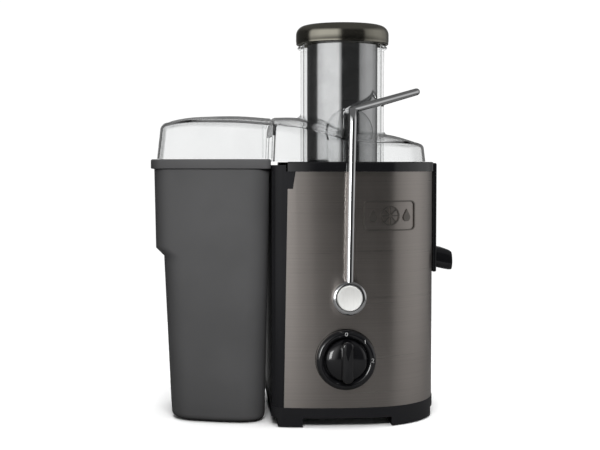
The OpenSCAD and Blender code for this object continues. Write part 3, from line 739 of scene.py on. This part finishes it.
def cover_plan(g):
    """Outline of the cover over the bowl, drawn in by g."""
    bulge_r, bulge_x = BODY_BULGE
    return bulged_plan(BODY_LEFT + 0.3, BODY_RIGHT - 7.5, BODY_HALF - 3, (bulge_r - 3, bulge_x),
                       (11.7, 66.5), g, 1.6)


def cover_skin(edge_r, inset):
    """One skin of the cover up to the chute, and the turn of each of its points round the chute."""
    fillet = 5.0
    rings, level = wall_rings(cover_plan, body_height, LID_Z, 1.5, edge_r, inset)
    turn = np.arctan2(level[:, 1], level[:, 0] - CHUTE_X)
    around = circle_ring(CHUTE_X, CHUTE_R + fillet, 0, turn)[:, :2]
    for share in np.linspace(0, 1, 10)[1:]:
        outline = level * (1 - share) + around * share
        rings.append(at_height(outline, body_height(outline, inset)))
    base = body_height(around, inset)
    for a in np.linspace(0, QUARTER, 6)[1:]:
        ring = circle_ring(CHUTE_X, CHUTE_R + fillet * (1 - math.sin(a)), 0, turn)
        ring[:, 2] = base + fillet * (1 - math.cos(a))
        rings.append(ring)
    return rings, turn


def chute_rings(turn):
    """Feed chute with a bead below its mouth: up the outside, down the bore, up to the cover."""
    bore = CHUTE_R - CHUTE_WALL
    section = [(CHUTE_R + r, CHUTE_TOP - drop) for r, drop in [
        (0, 60), (0, 40), (0, 20), (0, 5.2), (0.4, 4.4), (2.4, 4.0), (3.0, 3.4),
        (3.0, 2.6), (2.4, 2.0), (0.4, 1.9), (0, 1.2)]]
    mid, half, mouth_r = CHUTE_R - CHUTE_WALL / 2, CHUTE_WALL / 2, 1.2
    section += [(mid + half * math.cos(a), CHUTE_TOP - mouth_r + mouth_r * math.sin(a))
                for a in np.linspace(0, math.pi, 7)[1:-1]]
    section += [(bore, z) for z in [CHUTE_TOP - mouth_r, 330, 290, 240, 200, CHUTE_BOTTOM + 1]]
    section += [(bore + 1, CHUTE_BOTTOM), (CHUTE_R - 1, CHUTE_BOTTOM)]
    section += [(CHUTE_R, z) for z in [CHUTE_BOTTOM + 1, 200, 230, 250]]
    return [circle_ring(CHUTE_X, r, z, turn) for r, z in section]


def cover_mesh():
    """The part of the lid over the bowl, with the feed chute."""
    outer, turn = cover_skin(5.0, 0.0)
    under = cover_skin(3.0, LID_WALL)[0][::-1]
    lowest = under[0].copy()
    lowest[:, 2] -= 9
    return lofted(outer + chute_rings(turn) + [lowest] + under, closed=True)


def lug_mesh(side):
    """Arched fin with a beaded edge that holds the arm's wire in a notch in its crown."""
    cx, r, lug_y, half_t = ARM_LEAN, 22.0, 73.0, 1.8
    notch_r, foot_z = 3.9, 267.0
    cz = WIRE_Z + 2 - r
    foot = math.asin((foot_z - cz) / r)
    left_side = [(cx + r * math.cos(a), cz + r * math.sin(a))
                 for a in np.linspace(math.pi - foot, math.acos(-notch_r / r), 20)]
    notch = [(cx + notch_r * math.cos(a), WIRE_Z + notch_r * math.sin(a))
             for a in np.linspace(math.pi, 2 * math.pi, 14)]
    right_side = [(cx + r * math.cos(a), cz + r * math.sin(a))
                  for a in np.linspace(math.acos(notch_r / r), foot, 20)]
    outline = np.array((left_side + notch + right_side)[::-1])
    y = side * lug_y
    beads = []
    for edge in (left_side, right_side):
        centre_line = [(x + (cx - x) * 0.03, y, z + (cz - z) * 0.03) for x, z in edge]
        beads.append(swept(centre_line, 1.1, 12, (0, 1, 0)))
    return merged(prism(outline, -y - half_t, -y + half_t, "-y"), *beads)


def cut_away(obj, low, high):
    """Takes a box out of a finished piece."""
    verts, faces = box_mesh(low, high)
    cutter = new_object("cutter", new_mesh("cutter", place(verts), faces))
    cut = obj.modifiers.new("cut", "BOOLEAN")
    cut.operation = "DIFFERENCE"
    cut.solver = "EXACT"
    cut.object = cutter
    bpy.context.view_layer.update()
    depsgraph = bpy.context.evaluated_depsgraph_get()
    result = bpy.data.meshes.new_from_object(obj.evaluated_get(depsgraph))
    obj.modifiers.clear()
    obj.data = result
    bpy.data.objects.remove(cutter)


def make_lid():
    """Cover and hood, each opened where the other starts, with the lugs and a thin rib."""
    cover = piece("lid_cover", cover_mesh(), MATERIALS["clear"], "root", ["lid"],
                  angle=50)
    hood = piece("lid_hood", hood_mesh(), MATERIALS["clear"], "root", ["lid"],
                 angle=50)
    # The doorway that the pulp flies through, and the whole right end of the hood
    cut_away(cover, (-72, -58, 240), (-60, 58, 272))
    cut_away(hood, (HOOD_RIGHT - 2, -100, 240), (HOOD_RIGHT + 8, 100, 310))
    rib = [(-78, -76.2 + 3.2 * t, BIN_SEAT + 1 + 33 * t) for t in (0, 0.5, 1)]
    lugs = merged(lug_mesh(-1), lug_mesh(1), swept(rib, 0.8, 12))
    piece("lid_lugs", lugs, MATERIALS["clear"], "root", ["lid"], bevel=0.5)


# ---------------------------------------------------------------- feed pusher

def make_pusher():
    """Polished sleeve under a domed cap."""
    sleeve_r = (SLEEVE_HIGH[0] - SLEEVE_LOW[0]) / 2
    z0, z1 = SLEEVE_LOW[2], SLEEVE_HIGH[2]
    profile = [(sleeve_r - 1, z0 + 0.3), (sleeve_r - 0.5, z0), (sleeve_r, z0 + 0.3)]
    profile += [(sleeve_r, z) for z in np.linspace(z0 + 4, z1 - 2, 8)]
    profile += [(sleeve_r, z1), (sleeve_r - 1, z1)]
    verts, faces = revolved(profile, 128)
    verts[:, 0] += CHUTE_X
    piece("pusher_tube", (verts, faces), MATERIALS["sleeve"], "pusher",
          ["pusher_sleeve"], angle=40)

    r = (CAP_HIGH[0] - CAP_LOW[0]) / 2
    z0, z1 = CAP_LOW[2], CAP_HIGH[2]
    dome, edge = 1.6, 9.0
    profile = [(0, z1)]
    for share in (0.3, 0.6, 0.85):
        x = share * (r - edge)
        profile.append((x, z1 - dome * (x / (r - edge)) ** 2))
    for a in np.linspace(0, QUARTER, 9):
        profile.append((r - edge + edge * math.sin(a), z1 - dome - edge * (1 - math.cos(a))))
    profile += [(r, z0 + 3.2), (r - 0.25, z0 + 2.6), (r - 0.25, z0 + 0.7), (r - 0.9, z0),
                (r - 2.6, z0), (r - 3.0, z0 + 0.5), (r - 3.0, z0 + 4), (r - 5, z0 + 4.4),
                (0, z0 + 4.4)]
    verts, faces = revolved(profile[::-1], 128)
    verts[:, 0] += CHUTE_X
    piece("pusher_lid", (verts, faces), MATERIALS["cap"], "pusher", ["pusher_cap"],
          angle=40)


# ---------------------------------------------------------------- locking arm

def rounded_route(points, radii, n):
    """Polyline with its inner corners turned into arcs of n steps."""
    points = np.asarray(points, float)
    route = [points[0]]
    for a, b, c, r in zip(points[:-2], points[1:-1], points[2:], radii):
        u = (a - b) / np.linalg.norm(a - b)
        w = (c - b) / np.linalg.norm(c - b)
        half = math.acos(u.dot(w)) / 2
        centre = b + (u + w) / np.linalg.norm(u + w) * r / math.sin(half)
        e1 = b + u * r / math.tan(half) - centre
        e1 /= np.linalg.norm(e1)
        e2 = b + w * r / math.tan(half) - centre
        e2 -= e1 * e2.dot(e1)
        e2 /= np.linalg.norm(e2)
        sweep = math.pi - 2 * half
        for k in range(n + 1):
            t = sweep * k / n
            route.append(centre + r * (math.cos(t) * e1 + math.sin(t) * e2))
    route.append(points[-1])
    return np.array(route)


def pivot_piece(name, profile, side, material, node):
    """Round piece on the arm's pivot axis; side is 1 at the front and -1 at the back."""
    verts, faces = revolved(profile, 96, "-y")
    verts[:, 2] += PIVOT_Z
    verts[:, 1] *= side
    if side < 0:
        faces = [f[::-1] for f in faces]
    piece(name, (verts, faces), MATERIALS[material], "arm", [node], angle=40)


def make_arm():
    """Wire bent over the lid, with a disc and a brushed face at each end."""
    high = span("locking_arm")[1]
    wire_r = 3.5
    leg_y = high[1] - wire_r
    grip, grip_x = high[2] - wire_r, high[0] - wire_r
    half = [(0, -leg_y, PIVOT_Z + 5), (ARM_LEAN, -leg_y, WIRE_Z), (ARM_LEAN, -64, WIRE_Z),
            (grip_x, -5.4, grip)]
    points = half + [(x, -y, z) for x, y, z in half[::-1]]
    route = rounded_route(points, [12, 14, 10.8, 10.8, 14, 12], 14)
    piece("arm_wire", swept(route, wire_r, 32), MATERIALS["chrome"], "arm",
          ["locking_arm"], angle=50)

    # Profiles of (radius, distance from the middle of the body)
    disc_r, disc_back, disc_front, seat, edge_r = 16, 96.4, 108.5, 107.9, 3.4
    disc = [(5, disc_back), (disc_r - 0.8, disc_back), (disc_r, disc_back + 0.8)]
    disc += [(disc_r - edge_r * (1 - math.cos(a)), disc_front - edge_r + edge_r * math.sin(a))
             for a in np.linspace(0, QUARTER, 8)]
    disc += [(12.2, disc_front), (11.9, seat), (11.5, seat), (5, seat)]
    face = [(0, seat), (11.6, seat), (11.6, 109.4), (11.1, 110), (10.4, 110), (10.1, 109.8),
            (0, 109.8)]
    for name, side in (("front", 1), ("back", -1)):
        pivot_piece("pivot_disc_" + name, disc, side, "chrome", "pivot_discs")
        pivot_piece("pivot_face_" + name, face, side, "disc_face", "pivot_caps")


# ---------------------------------------------------------------- control knob

def make_bezel():
    """Ring round the knob with a rounded front."""
    outer_r, bore, back, shoulder = 28.0, 20.0, 94.1, 99.0
    mid, half = (outer_r + bore) / 2, (outer_r - bore) / 2
    profile = [(10, back), (outer_r - 0.4, back), (outer_r, back + 0.4), (outer_r, shoulder - 0.4)]
    profile += [(mid + half * math.cos(a), shoulder + 4.6 * math.sin(a))
                for a in np.linspace(0.12, math.pi - 0.12, 15)]
    profile += [(bore, 98.2), (bore, 95.4), (10, 95.2)]
    verts, faces = revolved(profile, 128, "-y")
    verts += (KNOB_X, 0, KNOB_Z)
    piece("dial_bezel", (verts, faces), MATERIALS["gloss"], "root", ["knob_bezel"],
          angle=40)


def make_knob():
    """Domed disc with a bar to grip across it."""
    knob_r, back, shoulder, rise = 19.4, 95.6, 102.8, 5.2
    profile = [(0, back), (3, back), (knob_r - 0.6, back), (knob_r, back + 0.6), (knob_r, shoulder)]
    for a in np.linspace(0.25, 1, 8)[:-1] * QUARTER:
        profile.append((knob_r * math.cos(a) ** 0.8, shoulder + rise * math.sin(a)))
    profile.append((0, shoulder + rise))
    dome = revolved(profile, 128, "-y")
    n, length, end_r = 30, 19.2, 4
    end = np.linspace(0, math.pi, n)
    rings = []
    # Sections of the bar: (distance from the middle of the body, half width, share of its length)
    for depth, width, share in [(102.4, 6.1, 1.0), (104, 5.6, 1.0), (110, 5.25, 1.0),
                                (115.6, 5.0, 0.99), (116.8, 4.8, 0.98), (117.6, 4.2, 0.96),
                                (-KNOB_FRONT, 3.4, 0.93)]:
        x = width * np.cos(end)
        z = np.sin(end) * end_r + length * share - end_r
        rings.append(np.column_stack([np.concatenate([x, -x]), np.full(2 * n, -depth),
                                      np.concatenate([z, -z])]))
    verts, faces = merged(dome, lofted(rings, caps=(True, True)))
    verts += (KNOB_X, 0, KNOB_Z)
    piece("dial_knob", (verts, faces), MATERIALS["gloss"], "knob", ["knob"], angle=40)


def make_marks():
    """Printed numbers 0, 1 and 2 on the bezel, 45 degrees apart."""
    ring_r, front, stroke_r = 24.4, 103.62, 0.34
    zero = [(1.1 * math.cos(a), 1.5 * math.sin(a)) for a in np.linspace(0, 2 * math.pi, 17)]
    one = [(-0.7, 0.9), (0.2, 1.6), (0.2, -1.6)]
    two = [(-0.9, 0.9), (-0.5, 1.5), (0.2, 1.6), (0.9, 1.0), (0.7, 0.2), (-1.0, -1.6), (1.1, -1.6)]
    strokes = []
    for number, points in enumerate((zero, one, two)):
        a = math.radians(45 * number)
        verts, faces = swept([(x, 0, z) for x, z in points], stroke_r, 10, (0, 1, 0))
        verts[:, 1] *= 0.35
        verts += (ring_r * math.sin(a) + KNOB_X, -front, ring_r * math.cos(a) + KNOB_Z)
        strokes.append((verts, faces))
    piece("dial_marks", merged(*strokes), MATERIALS["print"], "root")


# ---------------------------------------------------------------- bowl

def rim_mesh():
    """Black band round the top of the housing, open on the bin's side."""
    width, open_x, edge_r = 6.2, -57.0, 1.4
    outer, inner = body_plan(-1.2, 2.0), body_plan(width - 1.2, 2.0)
    keep = outer[:, 0] > open_x
    n = len(outer)
    first = next(k for k in range(n) if keep[k] and not keep[k - 1])
    order = [(first + k) % n for k in range(n) if keep[(first + k) % n]]
    outer, inner = outer[order], inner[order]
    section = [(0.0, BODY_TOP)]
    section += [(edge_r * (1 - math.cos(a)), RIM_TOP - edge_r + edge_r * math.sin(a))
                for a in np.linspace(0, QUARTER, 5)]
    section += [(width - 0.5, RIM_TOP), (width, RIM_TOP - 0.5), (width, BODY_TOP)]
    rows = [at_height(outer * (1 - t / width) + inner * t / width, z) for t, z in section]
    m, count = len(section), len(outer)
    verts = np.stack(rows, 1).reshape(-1, 3)
    faces = []
    for k in range(count - 1):
        for i in range(m):
            j = (i + 1) % m
            faces.append((k * m + i, k * m + j, (k + 1) * m + j, (k + 1) * m + i))
    faces += [tuple(range(m)), tuple((count - 1) * m + i for i in range(m - 1, -1, -1))]
    return verts, [f[::-1] for f in faces]


def make_bowl():
    """Bowl with a drip collar round the shaft, its rim, and the apron on the spout's side."""
    bowl_r, wall, floor_z, foot_r = 75.5, 2.5, 146.0, 6
    collar_z = floor_z + 18
    profile = [(11.5, floor_z + 0.5), (12, floor_z), (bowl_r - foot_r, floor_z)]
    profile += [(bowl_r - foot_r + foot_r * math.sin(a), floor_z + foot_r * (1 - math.cos(a)))
                for a in np.linspace(0, QUARTER, 7)[1:]]
    profile += [(bowl_r, z) for z in (170, 200, 230, BODY_TOP)]
    profile += [(bowl_r, BODY_TOP + 2.5), (bowl_r - wall, BODY_TOP + 2.5)]
    profile += [(bowl_r - wall, z) for z in (220, 190, 165)]
    inner_r = foot_r - wall
    profile += [(bowl_r - foot_r + inner_r * math.sin(a), floor_z + foot_r - inner_r * math.cos(a))
                for a in np.linspace(QUARTER, 0, 7)]
    profile += [(15, floor_z + wall), (14, floor_z + 3.5), (14, collar_z - 0.8), (13.2, collar_z),
                (12.3, collar_z), (11.5, collar_z - 0.8)]
    verts, faces = revolved(profile, 128)
    verts[:, 0] += MOTOR_X
    piece("bowl_shell", (verts, faces), MATERIALS["gloss"], "root", ["bowl"], angle=40)
    piece("bowl_rim", rim_mesh(), MATERIALS["gloss"], "root", ["bowl"], angle=40)
    apron = box_mesh((BODY_RIGHT + 0.3, -29, 139), (BODY_RIGHT + 4.5, 29, RIM_TOP - 1))
    piece("bowl_apron", apron, MATERIALS["gloss"], "root", ["bowl"], bevel=1.4,
          segments=4)


def spout_section(x, low, high, g):
    """Rounded oblong across the duct between two heights, drawn in by g."""
    half_w, mid_z, half_h = 19.0 - g, (low + high) / 2, (high - low) / 2 - g
    r = min(7.0 - g, half_h - 0.2)
    points = []
    for sy, sz, start in [(1, 1, 0), (-1, 1, 1), (-1, -1, 2), (1, -1, 3)]:
        for a in np.linspace(start * QUARTER, (start + 1) * QUARTER, 8):
            points.append((x, sy * (half_w - r) + r * math.cos(a),
                           mid_z + sz * (half_h - r) + r * math.sin(a)))
    return np.array(points)


def make_spout():
    """Covered duct that slopes down to the right, with a rounded mouth."""
    # Sections along the duct: (x, lowest, highest)
    stations = [(84, 146.2, 163.3), (92, 143.4, 163.8), (100, 141.6, 162.3), (106, 140.3, 160.9),
                (110, 139.7, 159.4), (112.2, 139.9, 157.8), (SPOUT_REACH, 141.2, 155.6)]
    outer = [spout_section(*station, 0.0) for station in stations]
    lip = spout_section(*stations[-1], 1.2)
    inner = [spout_section(*station, 2.5) for station in stations[::-1]]
    piece("spout_duct", lofted(outer + [lip] + inner, closed=True), MATERIALS["gloss"], "root",
          ["bowl"], angle=50)


finish_cad_nodes()
make_stage()
make_camera()
make_world()
make_bin()
make_lid()
make_pusher()
make_arm()
make_bezel()
make_knob()
make_marks()
make_bowl()
make_spout()
make_lights()
bpy.context.scene.view_settings.view_transform = "Standard"
